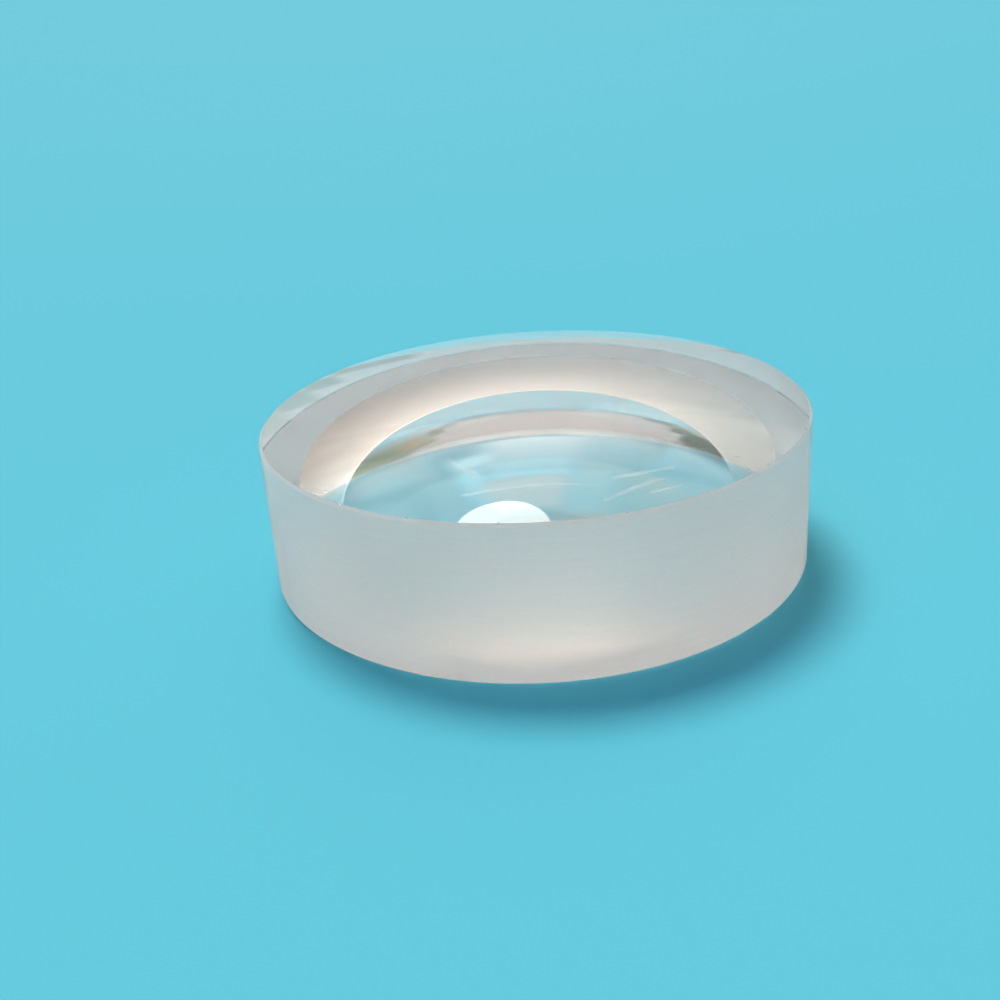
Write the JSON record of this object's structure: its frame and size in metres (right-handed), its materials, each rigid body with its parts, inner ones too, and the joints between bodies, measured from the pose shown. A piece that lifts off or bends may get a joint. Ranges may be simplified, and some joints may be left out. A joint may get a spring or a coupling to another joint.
{
  "type": "meniscus lens",
  "caption": "Thick round glass meniscus lens, convex above and deeply concave below, with a flat resting ring and a ground edge; bends light.",
  "frame": {"origin": "centre of the plane of the resting ring, on the optical axis", "axes": "+Z along the optical axis, from the concave face up to the convex face; X and Y lie in the plane of the resting ring"},
  "size_m": [0.06, 0.06, 0.0197],
  "materials": {
    "lens_glass": "polished curved faces, fine-ground frosted edge, chamfers and resting ring"
  },
  "bodies": {
    "root": {"lens": "lens_glass"}
  },
  "joints": []
}
